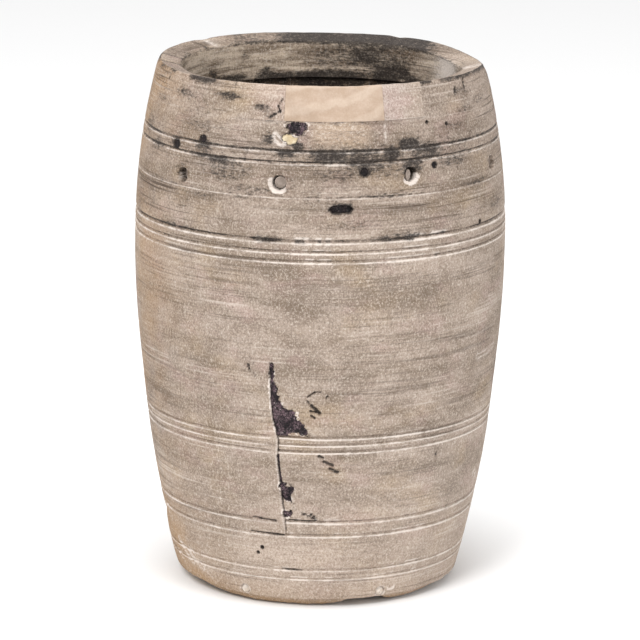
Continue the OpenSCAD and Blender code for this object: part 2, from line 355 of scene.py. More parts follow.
def split_bearing(z):
    """Bearing of the split at height z, which lies between its ends."""
    height = z / MM
    for (b0, z0), (b1, z1) in zip(SPLIT, SPLIT[1:]):
        if z1 <= height <= z0:
            return b0 + (b1 - b0) * (z0 - height) / (z0 - z1)
    return SPLIT[0][0] if height > SPLIT[0][1] else SPLIT[-1][0]


def from_split(bearing, z):
    """Millimetres along the surface from the split, positive to its right."""
    return math.radians(turn(bearing, split_bearing(z))) * outer_r(z) / MM


def beside_split(z):
    """1 along the split, falling to 0 past its ends."""
    height, top, bottom = z / MM, SPLIT[0][1], SPLIT[-1][1]
    return smooth(height, bottom - 4, bottom + 12) * fall(height, top - 8, top + 4)


def inside_by(x, y, outline):
    """How far a point is inside an outline, negative outside it, in the outline's units."""
    nearest, crossings = 1e9, 0
    for (x0, y0), (x1, y1) in zip(outline, outline[1:] + outline[:1]):
        dx, dy = x1 - x0, y1 - y0
        t = min(max(((x - x0) * dx + (y - y0) * dy) / (dx * dx + dy * dy), 0.0), 1.0)
        nearest = min(nearest, math.hypot(x - x0 - t * dx, y - y0 - t * dy))
        if (y0 > y) != (y1 > y) and x < x0 + (y - y0) / dy * dx:
            crossings += 1
    return nearest if crossings % 2 else -nearest


def turned_unevenness(s):
    """Old, dry wood has moved a little out of round."""
    s.depth += 0.35 * s.lumps(70, 1)
    s.depth += 0.12 * s.lumps(16, 2)
    s.depth += 0.9 * bell(s.z - WAIST_Z, 45 * MM)
    s.depth += 0.10 * noise.noise(Vector((s.bearing * 0.02, 0, s.z / (1.6 * MM))))


def cut_grooves(s):
    across, along = from_split(s.bearing, s.z), beside_split(s.z)
    healed = 1 - along * fall(-across, 2, 9) * (1 if across < 0 else 0)
    crisp = along * smooth(across, -0.3, 0.3) * fall(across, 30, 60)
    for height, depth, half, chipping, dirt_and_shade in GROOVES:
        z = height * MM
        wander = 0.5 * MM * lumps(s.bearing, z, 60, z * 900)
        off = (s.z - z - wander) / (half * MM)
        if abs(off) > 3.2:
            continue
        broken = lumps(s.bearing, z, 4.5, z * 700)
        broken += 1.3 * lumps(s.bearing, z, 22, z * 650)
        chip = smooth(broken, 0.30 - 0.22 * chipping, 0.50) * chipping
        chip *= 0.35 + 0.65 * smooth(s.bearing, -22, -12) * fall(s.bearing, 36, 48)
        chip *= fall(abs(off), 1.1, 2.6)
        floor = fall(abs(off), 0.2, 1.05)
        shallow = 0.72 + 0.28 * smooth(lumps(s.bearing, z, 34, z * 300), -0.3, 0.2)
        s.depth += depth * floor * healed * shallow * (1 + 0.25 * crisp)
        s.depth += 0.8 * chip * (1 - floor) * healed
        # The groove's floor is painted dark: grime, and painted shade under the groove's upper side.
        patchy = smooth(lumps(s.bearing, z, 26, z * 500 + 7), -0.35, 0.3)
        s.soot_and_shade += fall(abs(off - 0.15), 0.1, 0.75) * healed * dirt_and_shade * (0.5 + 0.45 * patchy)
        # The groove's lower lip is painted pale: limewash, and a painted highlight where the lip faces
        # up to the light.
        highlit_lip = smooth(-off, 0.6, 1) * fall(-off, 1.3, 2) * healed
        pale = smooth(lumps(s.bearing, z, 18, z * 40), -0.35, 0.35)
        s.lime_and_highlight += highlit_lip * (0.5 + 0.26 * pale + 0.24 * crisp) + 1.1 * chip * (1 - floor) * healed
        s.soot_and_shade += 0.6 * chip * dirt_and_shade * healed * smooth(s.lumps(4, 3), 0, 0.3)


def open_split(s):
    across = from_split(s.bearing, s.z)
    if abs(across) > 60:
        return
    along = beside_split(s.z)
    tight = fall(s.z, 140 * MM, 150 * MM)
    gap = fall(abs(across + 0.35 * s.lumps(5, 11)), 0.25 - 0.15 * tight, 0.95 - 0.3 * tight)
    s.depth += (3.2 - 1.4 * tight) * gap * along
    s.soot_and_shade += 0.95 * gap * along * (1 - 0.65 * tight * smooth(s.lumps(4.5, 12), -0.15, 0.25))
    s.depth += smooth(across, -0.2, 0.5) * fall(across, 6, 34) * along
    proud = fall(-across, 8, 30) * fall(across, -0.3, 0.2)
    s.depth -= 0.5 * proud * along
    s.lime_and_highlight += 0.45 * proud * along * fall(-across, 1, 3)


def let_in_fillings(s):
    for name, (bearing, height, _, ragged, outline) in FILLED.items():
        z = height * MM
        x, y = local_mm(s.bearing, s.z, bearing, z)
        reach = max(max(abs(px), abs(py)) for px, py in outline) + 3
        if abs(x) > reach or abs(y) > reach:
            continue
        torn = 2.2 * s.lumps(2.8, z * 800)
        torn += 1.3 * s.lumps(1.2, z * 500)
        inside = inside_by(x, y, outline) + torn * ragged
        s.depth += POCKET_DEPTH * smooth(inside, -0.25, 0.7)
        s.soot_and_shade += 0.9 * smooth(inside, -0.6, 0.3)
        edge_chip = smooth(s.lumps(5, 33), 0, 0.3)
        edge_chip *= ragged * 0.5 + 0.1 if ragged < 1 else 1
        s.lime_and_highlight += edge_chip * smooth(inside, -2.2, -0.9) * fall(inside, -0.7, -0.2)
        s.soot_and_shade += 0.4 * (1 - edge_chip) * smooth(inside, -3, -0.5) * (name != "seam_pitch")
    for bearing, height, radius in SPOTS.values():
        away = s.away_from(bearing, height * MM) + 0.6 * s.lumps(3, 31)
        if away < 9:
            s.depth += SPOT_DEPTH * fall(away, radius - 0.4, radius + 0.4)
            s.soot_and_shade += fall(away, radius, radius + 1.6)


def bore_pegs(s):
    for index, peg in enumerate(PEGS):
        x, y = local_mm(s.bearing, s.z, peg.bearing, peg.height * MM)
        away = math.hypot(x, y)
        if away > 16:
            continue
        hole = PEG_R / MM + 0.3 * s.lumps(4, index)
        s.depth += PEG_HOLE_DEPTH * fall(away, hole - 0.35, hole + 0.35)
        facing = math.cos(math.atan2(y, x) - math.radians(peg.chip_way))
        # Painted shade: the hole's wall and rim are darkened, most towards the chipped side, with some
        # grime.
        s.soot_and_shade += fall(away, hole - 0.6, hole + 0.5) * (0.3 + 0.5 * smooth(facing, -0.6, 0.3))
        chip = peg.chip_size * smooth(facing, peg.chip_spread, peg.chip_spread + 0.6)
        reach = hole + chip + 0.7 * s.lumps(2.4, 5)
        chipped = fall(away, reach - 0.8, reach) * smooth(away, hole - 0.3, hole + 0.2)
        s.depth += 1.7 * chipped * fall(away, hole, hole + peg.chip_size + 0.5)
        s.lime_and_highlight += 1.25 * chipped
        s.soot_and_shade *= 1 - 0.9 * chipped


def bore_small_holes(s):
    for bearing, height, radius in WORM_HOLES:
        away = s.away_from(bearing, height * MM)
        if away < radius + 2:
            s.depth += WORM_HOLE_DEPTH * fall(away, radius - 0.4, radius + 0.4)
            s.soot_and_shade += fall(away, radius - 0.2, radius + 0.9)
    edge = PLUG_R / MM + 0.1
    for bearing in PLUG_BEARINGS:
        away = s.away_from(bearing, PLUG_Z)
        if away < edge + 4:
            s.depth += PLUG_HOLE_DEPTH * fall(away, edge - 0.3, edge + 0.3)
            s.soot_and_shade += 0.3 * fall(away, edge, edge + 0.8)
            s.lime_and_highlight += 0.6 * fall(away + 2 * s.lumps(4, 47), edge, edge + 2)


def scar(s):
    for b0, z0, b1, z1, width, depth, soot_and_shade, lime_and_highlight in SCARS:
        if abs(s.turn((b0 + b1) / 2)) > abs(b1 - b0) / 2 + 4:
            continue
        if not min(z0, z1) - 5 < s.z / MM < max(z0, z1) + 5:
            continue
        x, y = local_mm(s.bearing, s.z, b0, z0 * MM)
        run, rise = math.radians(b1 - b0) * outer_r(s.z) / MM, z1 - z0
        t = min(max((x * run + y * rise) / math.hypot(run, rise) ** 2, 0), 1)
        away = math.hypot(x - t * run, y - t * rise) + 0.4 * s.lumps(3, b0)
        hit = fall(away, width * 0.15, width * 0.65)
        s.depth += depth * hit
        s.soot_and_shade += soot_and_shade * hit
        s.lime_and_highlight += lime_and_highlight * fall(abs(away - width * 0.6), 0.2, width * 0.6)


def stain(s, places, radius):
    for bearing, height, half_w, half_h, strength in places:
        x = math.radians(s.turn(bearing)) * radius / MM / half_w
        y = (s.z / MM - height) / half_h
        if abs(x) < 1.6 and abs(y) < 1.6:
            s.soot_and_shade += strength * fall(math.hypot(x, y), 0.35, 1.5)


def wear_foot(s):
    """The foot's edge is worn all round, most at the front left."""
    low = fall(s.z, 4 * MM, 26 * MM)
    s.depth += low * (0.3 + 0.9 * s.lumps(30, 41))
    s.depth -= 1.2 * fall(s.z, 30 * MM, 52 * MM) * bell(s.turn(-84), 24)
    s.depth += 1.2 * bell(s.z - 51 * MM, 3.5 * MM) * bell(s.turn(-84), 9)
    s.tan += 0.2 * low + 0.9 * low * bell(s.turn(-58), 26)
    s.tan += 0.9 * fall(s.z, 2 * MM, 7 * MM)


def broken_away(bearing):
    """Height in mm of what has broken off the foot at a bearing."""
    for (b0, high0), (b1, high1) in zip(BROKEN_FOOT, BROKEN_FOOT[1:]):
        if b0 <= bearing < b1:
            return high0 + (high1 - high0) * (bearing - b0) / (b1 - b0)
    return 0


def lift_foot(bearing, radius, z):
    """Height of a point near the foot once its edge has worn and broken away."""
    if z > FOOT_REACH:
        return z
    jagged = 0.8 * lumps(bearing, 0, 9, 51) + 0.6 * lumps(bearing, 0, 3.5, 52)
    broken = broken_away(bearing)
    lift = (broken + jagged * min(broken / 3, 1)) * MM
    if radius < inner_r(z) + 1.5 * MM:
        return z + lift * (1 - z / FOOT_REACH)
    worn = 3.6 * bell(turn(bearing, -66), 24) + 0.7 + 0.8 * jagged
    worn *= smooth(radius, 88 * MM, 103 * MM) * fall(z, 0, 12 * MM)
    return max(z, lift, z + worn * MM)


def lower_rim(bearing):
    """How far the rim has worn or broken down at a bearing."""
    down = 4.2 * MM * bell(turn(bearing, 106), 22)
    for nick, size, low, high in RIM_NICKS:
        down += size * MM * fall(abs(turn(bearing, nick)), low, high)
    down += 0.4 * MM * lumps(bearing, HEIGHT, 22, 61)
    down += 0.25 * MM * lumps(bearing, HEIGHT, 6, 62)
    left = smooth(-bearing, 62, 104) * fall(-bearing, 150, 178)
    return down - 0.5 * MM * smooth(abs(bearing), 90, 150) - 1.2 * MM * left


def plane_below_blocks(s):
    """The wood below the middle block was planed clean when the block was let in."""
    planed = smooth(s.z, 356 * MM, 362 * MM) * fall(s.z, 372 * MM, 378 * MM)
    planed *= smooth(s.bearing, -5, 0) * fall(s.bearing, 13, 18)
    s.tan += 0.6 * planed
    s.lime_and_highlight += 0.35 * planed


def blacken_upper(s):
    """Soot in the band above the pegs, along the rim's edge and thinly over the top."""
    facing = smooth(s.bearing, -40, 5) * fall(s.bearing, 40, 75)
    band = smooth(s.z, 335 * MM, 348 * MM) * fall(s.z, 352 * MM, 372 * MM)
    s.soot_and_shade += 0.26 * band * (0.4 + 0.6 * facing)
    s.soot_and_shade += 0.75 * smooth(s.z, 397.5 * MM, 399.2 * MM) * smooth(s.lumps(20, 91), -0.4, 0.1)
    s.soot_and_shade += 0.16 * smooth(s.z, 286 * MM, 300 * MM)


def mark_block_joint(s):
    """A pale and a dark line run along under the blocks."""
    joint = smooth(s.bearing, -29, -26) * fall(s.bearing, 35, 37)
    above = s.z - BLOCK_Z
    pale = joint * fall(abs(above + 0.6 * MM), 0.3 * MM, 1.1 * MM)
    dark = joint * fall(abs(above), 0.2 * MM, 0.9 * MM)
    s.lime_and_highlight += 0.6 * pale * (0.5 + s.lumps(12, 90))
    s.soot_and_shade += 0.4 * dark * (0.6 + s.lumps(9, 92))


def shape_outside(bearing, z, blocks=False):
    s = Surface(bearing, z)
    turned_unevenness(s)
    scar(s)
    stain(s, STAINS, outer_r(z))
    if blocks:
        return s
    cut_grooves(s)
    open_split(s)
    let_in_fillings(s)
    bore_pegs(s)
    bore_small_holes(s)
    wear_foot(s)
    s.tan += bell(s.turn(-80), 25) * (0.7 + 0.9 * s.lumps(55, 93) + 0.5 * s.lumps(14, 94))
    s.tan *= 1 - 0.6 * bell(z - 322 * MM, 22 * MM)
    s.lime_and_highlight += 0.14 * bell(s.turn(50), 20) * fall(z, 110 * MM, 150 * MM)
    plane_below_blocks(s)
    blacken_upper(s)
    mark_block_joint(s)
    s.depth += 1.3 * smooth(z, 392 * MM, 400 * MM) * bell(s.turn(84), 24)
    s.depth += 0.9 * smooth(z, 395 * MM, 400 * MM) * bell(s.turn(-78), 24)
    return s


def shape_inside(bearing, z):
    s = Surface(bearing, z)
    s.depth += 0.5 * s.lumps(40, 71)
    rough = fall(z, THROAT_Z - 4 * MM, THROAT_Z + 2 * MM)
    s.depth += rough * 1.2 * s.lumps(11, 72)
    s.depth += rough * 0.5 * s.lumps(4, 74)
    ring = noise.noise(Vector((bearing * 0.01, 3, z / (2.2 * MM))))
    s.depth += 0.2 * ring * (1 - rough)
    stain(s, MOUTH_STAINS, MOUTH_R)
    chamfer = smooth(z, LIP_Z - 0.5 * MM, LIP_Z + 0.5 * MM)
    for crack, width in CHAMFER_CRACKS:
        s.soot_and_shade += 0.8 * chamfer * fall(abs(s.turn(crack)), 0.3, width)
    s.lime_and_highlight += 0.55 * chamfer * fall(abs(s.turn(-131)), 0.8, 3.2)
    s.lime_and_highlight += 0.75 * (1 - rough) * (1 - chamfer) * bell(s.turn(114), 13)
    s.lime_and_highlight += 0.22 * chamfer * bell(s.turn(92), 16)
    s.lime_and_highlight += 0.7 * chamfer * fall(abs(s.turn(88)), 2, 7) * (0.6 + s.lumps(5, 78))
    turned_edge = abs(z - HEIGHT + CHAMFER_FALL + 1.2 * MM)
    s.soot_and_shade += 0.55 * fall(turned_edge, 0.6 * MM, 2.2 * MM)
    # Painted shade: the inside below the throat is darkened, where little light reaches.
    deep = fall(z, THROAT_Z + 1 * MM, THROAT_Z + 7 * MM)
    s.soot_and_shade += (0.35 + 0.5 * smooth(s.lumps(16, 75), -0.3, 0.3)) * deep
    return s


# ---------------------------------------------------------------- mesh making
# Places on the outside that need a finer mesh: bearing, height, half width, half height
FINE_PLACES = (
    *((peg.bearing, peg.height, 10.5, 10.5) for peg in PEGS),
    *((bearing, PLUG_Z / MM, 5.5, 5.5) for bearing in PLUG_BEARINGS),
    *((bearing, height, 3.6, 3.6) for bearing, height, _ in WORM_HOLES),
    *((bearing, height, 5.5, 5.5) for bearing, height, _ in SPOTS.values()),
    (-9, 160, 18, 40), (-8, 366, 13, 12), (6.5, 312, 12.5, 6), (1.5, 117, 14, 10),
    (-1, 164, 10, 13),
)
MEDIUM_PLACES = ((60, 198, 36, 16), (-21, 190, 7, 9), (-60, 28, 34, 20), (-4, 77, 12, 9))


def rows(low, high, spacing):
    count = max(1, round((high - low) / spacing))
    return [low + (high - low) * i / count for i in range(count + 1)]


def outside_heights(low, high):
    """Heights of the rows up the outside: close over each groove, wider between them."""
    keys = [low, high]
    for height, _, half, _, _ in GROOVES:
        keys += [height * MM + half * MM * away for away in (-2.2, -1.15, -0.35, 0.35, 1.15, 2.2)]
    keys = sorted(k for k in keys if low <= k <= high)
    heights = [low]
    for a, b in zip(keys, keys[1:]):
        if b - a > 0.2 * MM:
            heights += rows(a, b, 3.2 * MM)[1:]
    return heights


def rim_corners(land_drop):
    """The section from the outside over the rim and down the mouth to the blocks' underside."""
    corners = [(RIM_R - 0.3 * MM, HEIGHT - 0.4 * MM), (RIM_R - 0.9 * MM, HEIGHT)]
    corners.append((LAND_R, HEIGHT - land_drop))
    corners += [
        (LAND_R + (MOUTH_R - LAND_R) * t, HEIGHT - CHAMFER_FALL * t) for t in (0.25, 0.5, 0.75, 0.96)
    ]
    return corners + [(MOUTH_R, z) for z in reversed(rows(BLOCK_Z, LIP_Z - 0.6 * MM, 3.5 * MM))]


def wall_corners(top):
    """The closed section through the wall up to top, as radius and height."""
    round_r = FOOT_R - FOOT_ROUND
    corners = [(HOLLOW_FOOT_R, 0.0), ((HOLLOW_FOOT_R + round_r) / 2, 0.0)]
    corners += [
        (round_r + FOOT_ROUND * math.sin(a), FOOT_ROUND * (1 - math.cos(a)))
        for a in [math.radians(d) for d in (0, 20, 40, 58, 72)]
    ]
    corners += [(outer_r(z), z) for z in outside_heights(FOOT_ROUND * 0.8, BLOCK_Z)]
    if top > BLOCK_Z:
        corners += [(outer_r(z), z) for z in rows(BLOCK_Z, HEIGHT - 1.2 * MM, 2.6 * MM)[1:]]
        corners += rim_corners(0.1 * MM)[:-1]
    else:
        corners += [(r, BLOCK_Z) for r in reversed(rows(MOUTH_R, outer_r(BLOCK_Z), 6 * MM)[1:-1])]
    corners += [(MOUTH_R, z) for z in reversed(rows(THROAT_Z, BLOCK_Z, 3.5 * MM))]
    corners += [(inner_r(z), z) for z in reversed(rows(6 * MM, THROAT_Z - 1.5 * MM, 8 * MM))]
    return corners


def block_corners():
    """The closed section through the blocks let into the rim."""
    corners = [(outer_r(z), z) for z in rows(BLOCK_Z, HEIGHT - 1.2 * MM, 1.2 * MM)]
    corners += rim_corners(0.0)
    corners += [(r, BLOCK_Z) for r in rows(MOUTH_R, outer_r(BLOCK_Z), 5 * MM)[1:-1]]
    return corners


def spin_section(bm, corners, start, end, steps):
    """Turns a closed section round the drum's axis from one bearing to another."""
    verts = [bm.verts.new(at(start, radius, z)) for radius, z in corners]
    edges = [bm.edges.new(pair) for pair in zip(verts, verts[1:] + verts[:1])]
    bmesh.ops.spin(
        bm, geom=verts + edges, cent=(0, 0, 0), axis=(0, 0, 1), dvec=(0, 0, 0),
        angle=math.radians(end - start), steps=steps, use_merge=False, use_duplicate=False)


def close_up(bm):
    """Joins what meets, fills the ends that are left open and turns every face outwards."""
    bmesh.ops.remove_doubles(bm, verts=bm.verts[:], dist=0.02 * MM)
    open_edges = [e for e in bm.edges if e.is_boundary]
    if open_edges:
        bmesh.ops.holes_fill(bm, edges=open_edges, sides=0)
    bmesh.ops.recalc_face_normals(bm, faces=bm.faces[:])


def refine(bm, wanted):
    """Halves the mesh where wanted(bearing, z) is true on the outside."""
    edges = set()
    for face in bm.faces:
        middle = face.calc_center_median()
        if math.hypot(middle.x, middle.y) < outer_r(middle.z) - 6 * MM and middle.z > 9 * MM:
            continue
        if len(face.verts) <= 4 and wanted(bearing_of(middle), middle.z):
            edges.update(face.edges)
    bmesh.ops.subdivide_edges(bm, edges=list(edges), cuts=1, use_grid_fill=True)


def near(bearing, z, places):
    for centre_bearing, height, half_w, half_h in places:
        x, y = local_mm(bearing, max(z, 0.0), centre_bearing, height * MM)
        if abs(x) < half_w and abs(y) < half_h:
            return True
    return False


def needs_fine(bearing, z):
    """Small deep features, and the split."""
    beside = 54 * MM < z < 200 * MM and abs(from_split(bearing, z)) < 5.5
    return beside or near(bearing, z, FINE_PLACES)


def needs_medium(bearing, z):
    """Shallow cuts and chips, the foot's broken edge, and all that needs a fine mesh."""
    broken = z < 14 * MM and (0 < bearing < 86 or -95 < bearing < -35)
    return broken or near(bearing, z, MEDIUM_PLACES) or needs_fine(bearing, z)


def shape_wall(bm, blocks=False, proud=0.0):
    """Moves the turned wall's points to their worn places and marks them."""
    layer = bm.verts.layers.float_color.new("marks")
    for vert in bm.verts:
        bearing, radius, z = bearing_of(vert.co), math.hypot(vert.co.x, vert.co.y), vert.co.z
        middle_r = (outer_r(z) + inner_r(min(z, THROAT_Z))) / 2
        if radius > (RIM_R - 1.5 * MM if z > LIP_Z - MM else middle_r):
            s = shape_outside(bearing, z, blocks)
            radius -= (s.depth * MM - proud) * (1 if blocks else smooth(z, 0, 3 * MM))
            inside = 0.0
        else:
            s = shape_inside(bearing, z)
            radius += s.depth * MM * smooth(z, 0, 12 * MM) * fall(z, LIP_Z - 3 * MM, LIP_Z)
            inside = fall(z, LIP_Z - 0.5 * MM, LIP_Z + 0.5 * MM)
        z -= lower_rim(bearing) * smooth(z, HEIGHT - 24 * MM, HEIGHT)
        z = lift_foot(bearing, radius, z)
        broken = smooth(z - vert.co.z, 1.0 * MM, 3.0 * MM)
        vert.co = at(bearing, radius, z)
        vert[layer] = (
            min(s.soot_and_shade, 1.0) * (1 - broken), min(s.lime_and_highlight + 0.2 * broken, 1.0),
            min(s.tan + 0.4 * broken, 1.0), inside)


def add_object(name, data):
    made = bpy.data.objects.new(name, data)
    bpy.context.collection.objects.link(made)
    return made


def new_piece(bm, name, material, sharp_degrees=38):
    """Makes the object of a finished mesh, smooth except at its sharp edges."""
    bmesh.ops.recalc_face_normals(bm, faces=bm.faces[:])
    mesh = bpy.data.meshes.new(name)
    bm.to_mesh(mesh)
    bm.free()
    mesh.polygons.foreach_set("use_smooth", [True] * len(mesh.polygons))
    mesh.set_sharp_from_angle(angle=math.radians(sharp_degrees))
    mesh.materials.append(material)
    return add_object(name, mesh)


def stand_for(piece, node):
    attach(piece, "root")
    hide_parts(node)


def make_shell(material):
    bm = bmesh.new()
    first, last = BLOCK_BEARINGS[0], BLOCK_BEARINGS[-1]
    spin_section(bm, wall_corners(BLOCK_Z), first, last, 66)
    full = wall_corners(HEIGHT)
    for start, end, steps in ((last, 90, 54), (90, 270, 84), (270, 360 + first, 60)):
        spin_section(bm, full, start, end, steps)
    close_up(bm)
    refine(bm, needs_medium)
    refine(bm, needs_fine)
    shape_wall(bm)
    stand_for(new_piece(bm, "turned_shell", material), "shell")


def make_rim_block(index, name, material, proud):
    bm = bmesh.new()
    start, end = BLOCK_BEARINGS[index], BLOCK_BEARINGS[index + 1]
    spin_section(bm, block_corners(), start, end, round((end - start) * 2.2))
    close_up(bm)
    joints = [e for e in bm.edges if e.calc_face_angle(0) > math.radians(60)]
    bmesh.ops.bevel(
        bm, geom=joints, offset=0.35 * MM, segments=2, profile=0.5, affect="EDGES",
        material=-1, clamp_overlap=True)
    shape_wall(bm, blocks=True, proud=proud)
    stand_for(new_piece(bm, name, material), f"rim_block_{name.split('_')[0]}")


def radial_frame(bearing, radius, z):
    """Matrix that puts a shape drawn with +Z outward, +X along and +Y up on the wall."""
    upright = Euler((math.pi / 2, 0, 0)).to_matrix().to_4x4()
    turn_out = Matrix.Rotation(math.radians(bearing), 4, "Z") @ upright
    return Matrix.Translation(at(bearing, radius, z)) @ turn_out


def make_pin(name, node, material, place, radius, length, roughness, dome, seed):
    """A wooden pin with a broken or dished outer end, its outer end at place."""
    bm = bmesh.new()
    bmesh.ops.create_cone(
        bm, cap_ends=True, segments=36, radius1=radius * 0.96, radius2=radius, depth=length,
        matrix=Matrix.Translation((0, 0, -length / 2)))
    end = max(bm.faces, key=lambda f: f.calc_center_median().z)
    for _ in range(5):
        bmesh.ops.inset_region(bm, faces=[end], thickness=radius / 6.5, depth=0)
    for vert in bm.verts:
        if vert.co.z > -0.1 * MM:
            away = math.hypot(vert.co.x, vert.co.y) / radius
            vert.co.z += dome * (1 - away * away)
            vert.co.z += roughness * noise.noise(vert.co / (1.5 * MM) + Vector((seed, 0, 0)))
            vert.co.z -= 0.35 * MM * smooth(away, 0.86, 1.0)
    bm.transform(place)
    stand_for(new_piece(bm, name, material), node)


def make_filling(name, node, material, bearing, z, outline, recess, bumps, square=0.55):
    """A lump of pitch or putty that fills an outline in the wood, a little below the surface."""
    bm = bmesh.new()
    low_x, high_x = (f(p[0] for p in outline) for f in (min, max))
    low_y, high_y = (f(p[1] for p in outline) for f in (min, max))
    margin = 1.4
    size_x, size_y = high_x - low_x + 2 * margin, high_y - low_y + 2 * margin
    bmesh.ops.create_grid(
        bm, x_segments=max(4, round(size_x / square)), y_segments=max(4, round(size_y / square)),
        size=0.5)
    for vert in bm.verts:
        vert.co.x = (vert.co.x + 0.5) * size_x + low_x - margin
        vert.co.y = (vert.co.y + 0.5) * size_y + low_y - margin
    stray = [f for f in bm.faces if inside_by(*f.calc_center_median().xy, outline) < -margin * 0.8]
    bmesh.ops.delete(bm, geom=stray, context="FACES")
    bottom = bmesh.ops.extrude_face_region(bm, geom=bm.faces[:])["geom"]
    sunk = {item for item in bottom if isinstance(item, bmesh.types.BMVert)}
    for vert in bm.verts:
        x, y = vert.co.x, vert.co.y
        place_z = z + y * MM
        place_bearing = bearing + math.degrees(x * MM / outer_r(place_z))
        if vert in sunk:
            depth = FILLING_DEPTH
        else:
            depth = recess + bumps * lumps(place_bearing, place_z, 3.6, 81)
            depth += bumps * 0.7 * lumps(place_bearing, place_z, 1.5, 82)
            depth += 0.8 * MM * fall(inside_by(x, y, outline), -1.2, 0.6)
        vert.co = at(place_bearing, outer_r(place_z) - depth, place_z)
    stand_for(new_piece(bm, name, material, 50), node)


# ---------------------------------------------------------------- shader helpers
def srgb(red, green, blue):
    """Linear colour of an 8-bit shade."""
    def linear(value):
        c = value / 255
        return c / 12.92 if c <= 0.04045 else ((c + 0.055) / 1.055) ** 2.4
    return (linear(red), linear(green), linear(blue), 1.0)


class Shader:
    """A node tree under construction, and the place on the object that it reads."""

    def __init__(self, tree, place=None, material=None):
        self.tree = tree
        self.place = place
        self.material = material

    def add(self, kind, inputs=None, **settings):
        """Adds a node, with its settings, and its inputs as values or links."""
        made = self.tree.nodes.new("ShaderNode" + kind)
        for key, value in settings.items():
            setattr(made, key, value)
        for key, value in (inputs or {}).items():
            if isinstance(value, bpy.types.NodeSocket):
                self.tree.links.new(value, made.inputs[key])
            else:
                made.inputs[key].default_value = value
        return made

    def use(self, group, inputs):
        """What one of the node groups gives out."""
        return self.add("Group", {"Vector": self.place, **inputs}, node_tree=GROUPS[group]).outputs

    def maths(self, operation, a, b):
        return self.add("Math", {0: a, 1: b}, operation=operation).outputs[0]

    def times(self, a, b):
        return self.maths("MULTIPLY", a, b)

    def plus(self, a, b):
        return self.maths("ADD", a, b)

    def minus(self, a, b):
        return self.maths("SUBTRACT", a, b)

    def vector(self, operation, inputs):
        return self.add("VectorMath", inputs, operation=operation).outputs[0]

    def step(self, value, low, high, to_low=0.0, to_high=1.0):
        """Smooth step of a value between two limits."""
        made = self.add(
            "MapRange",
            {"Value": value, "From Min": low, "From Max": high, "To Min": to_low, "To Max": to_high},
            interpolation_type="SMOOTHSTEP")
        return made.outputs["Result"]

    def mix(self, factor, a, b, blend="MIX"):
        """Colour from a to b, which are sockets or 8-bit shades."""
        a, b = (srgb(*c) if isinstance(c, tuple) else c for c in (a, b))
        made = self.add("Mix", {0: factor, 6: a, 7: b}, data_type="RGBA", blend_type=blend)
        return made.outputs[2]

    def cover(self, body, layers):
        """Lays shades over a colour, each where its mask is, at its strength."""
        for mask, strength, shade in layers:
            body = self.mix(self.times(mask, strength), body, shade)
        return body

    def noise(self, scale, detail=3.0, rough=0.55):
        """Noise whose lumps are 1 over scale across, on each axis or on all."""
        if not isinstance(scale, tuple):
            scale = (scale, scale, scale)
        mapped = self.add("Mapping", {"Vector": self.place, "Scale": scale}).outputs[0]
        return self.even_noise(mapped, detail, rough)

    def even_noise(self, vector, detail, rough):
        return self.add("TexNoise", {
            "Vector": vector, "Scale": 1.0, "Detail": detail, "Roughness": rough}).outputs[0]

    def marks(self):
        """What is painted on the mesh: sooty grime and painted shade, limewash and painted highlight,
        tan and inside.
        """
        painted = self.add("Attribute", attribute_name="marks").outputs
        parts = self.add("SeparateColor", {"Color": painted["Color"]}).outputs
        return parts[0], parts[1], parts[2], painted["Alpha"]

    def give(self, outputs):
        """Finishes a node group with its outputs."""
        end = self.tree.nodes.new("NodeGroupOutput")
        for label, value in outputs.items():
            self.tree.links.new(value, end.inputs[label])
        return self.tree

    def finish(self, color, roughness, height=None, bump=0.5, distance=0.4 * MM):
        """Finishes a material."""
        surface = self.add("BsdfPrincipled", {
            "Base Color": color, "Roughness": roughness, "Specular IOR Level": 0.2})
        if height is not None:
            bumps = {"Height": height, "Strength": bump, "Distance": distance}
            self.tree.links.new(self.add("Bump", bumps).outputs[0], surface.inputs["Normal"])
        self.add("OutputMaterial", {0: surface.outputs[0]})
        return self.material


def new_group(name, inputs, outputs):
    """An empty node group, and what it is given. Sockets are numbers unless their name says.

    The inputs besides Vector come with the value they have when they aren't linked.
    """
    group = bpy.data.node_groups.new(name, "ShaderNodeTree")
    sockets = [("INPUT", label, value) for label, value in (("Vector", None), *inputs.items())]
    sockets += [("OUTPUT", label, None) for label in outputs]
    for way, label, value in sockets:
        kind = label if label in ("Vector", "Color") else "Float"
        socket = group.interface.new_socket(name=label, in_out=way, socket_type="NodeSocket" + kind)
        if value is not None:
            socket.default_value = value
    given = group.nodes.new("NodeGroupInput").outputs
    return Shader(group, given["Vector"]), given


def lathe_lines_group():
    """Fine rings left by the turning tool: masks of dark and of pale lines, and a height."""
    sh, given = new_group("lathe_lines", {"Strength": 1.0}, ("Dark", "Pale", "Height"))
    fine = sh.noise((9, 9, 560), 3.0, 0.65)
    broad = sh.noise((6, 6, 230), 4.0, 0.7)
    patches = sh.step(sh.noise((13, 13, 38)), 0.40, 0.60)
    lines = sh.times(sh.step(fine, 0.53, 0.66), 0.75)
    both = sh.maths("MAXIMUM", lines, sh.step(broad, 0.55, 0.68))
    others = sh.step(sh.noise((16, 16, 30)), 0.45, 0.60)
    return sh.give({
        "Dark": sh.times(sh.times(both, patches), given["Strength"]),
        "Pale": sh.times(sh.step(fine, 0.45, 0.34), others),
        "Height": sh.plus(fine, sh.times(broad, 1.4)),
    })


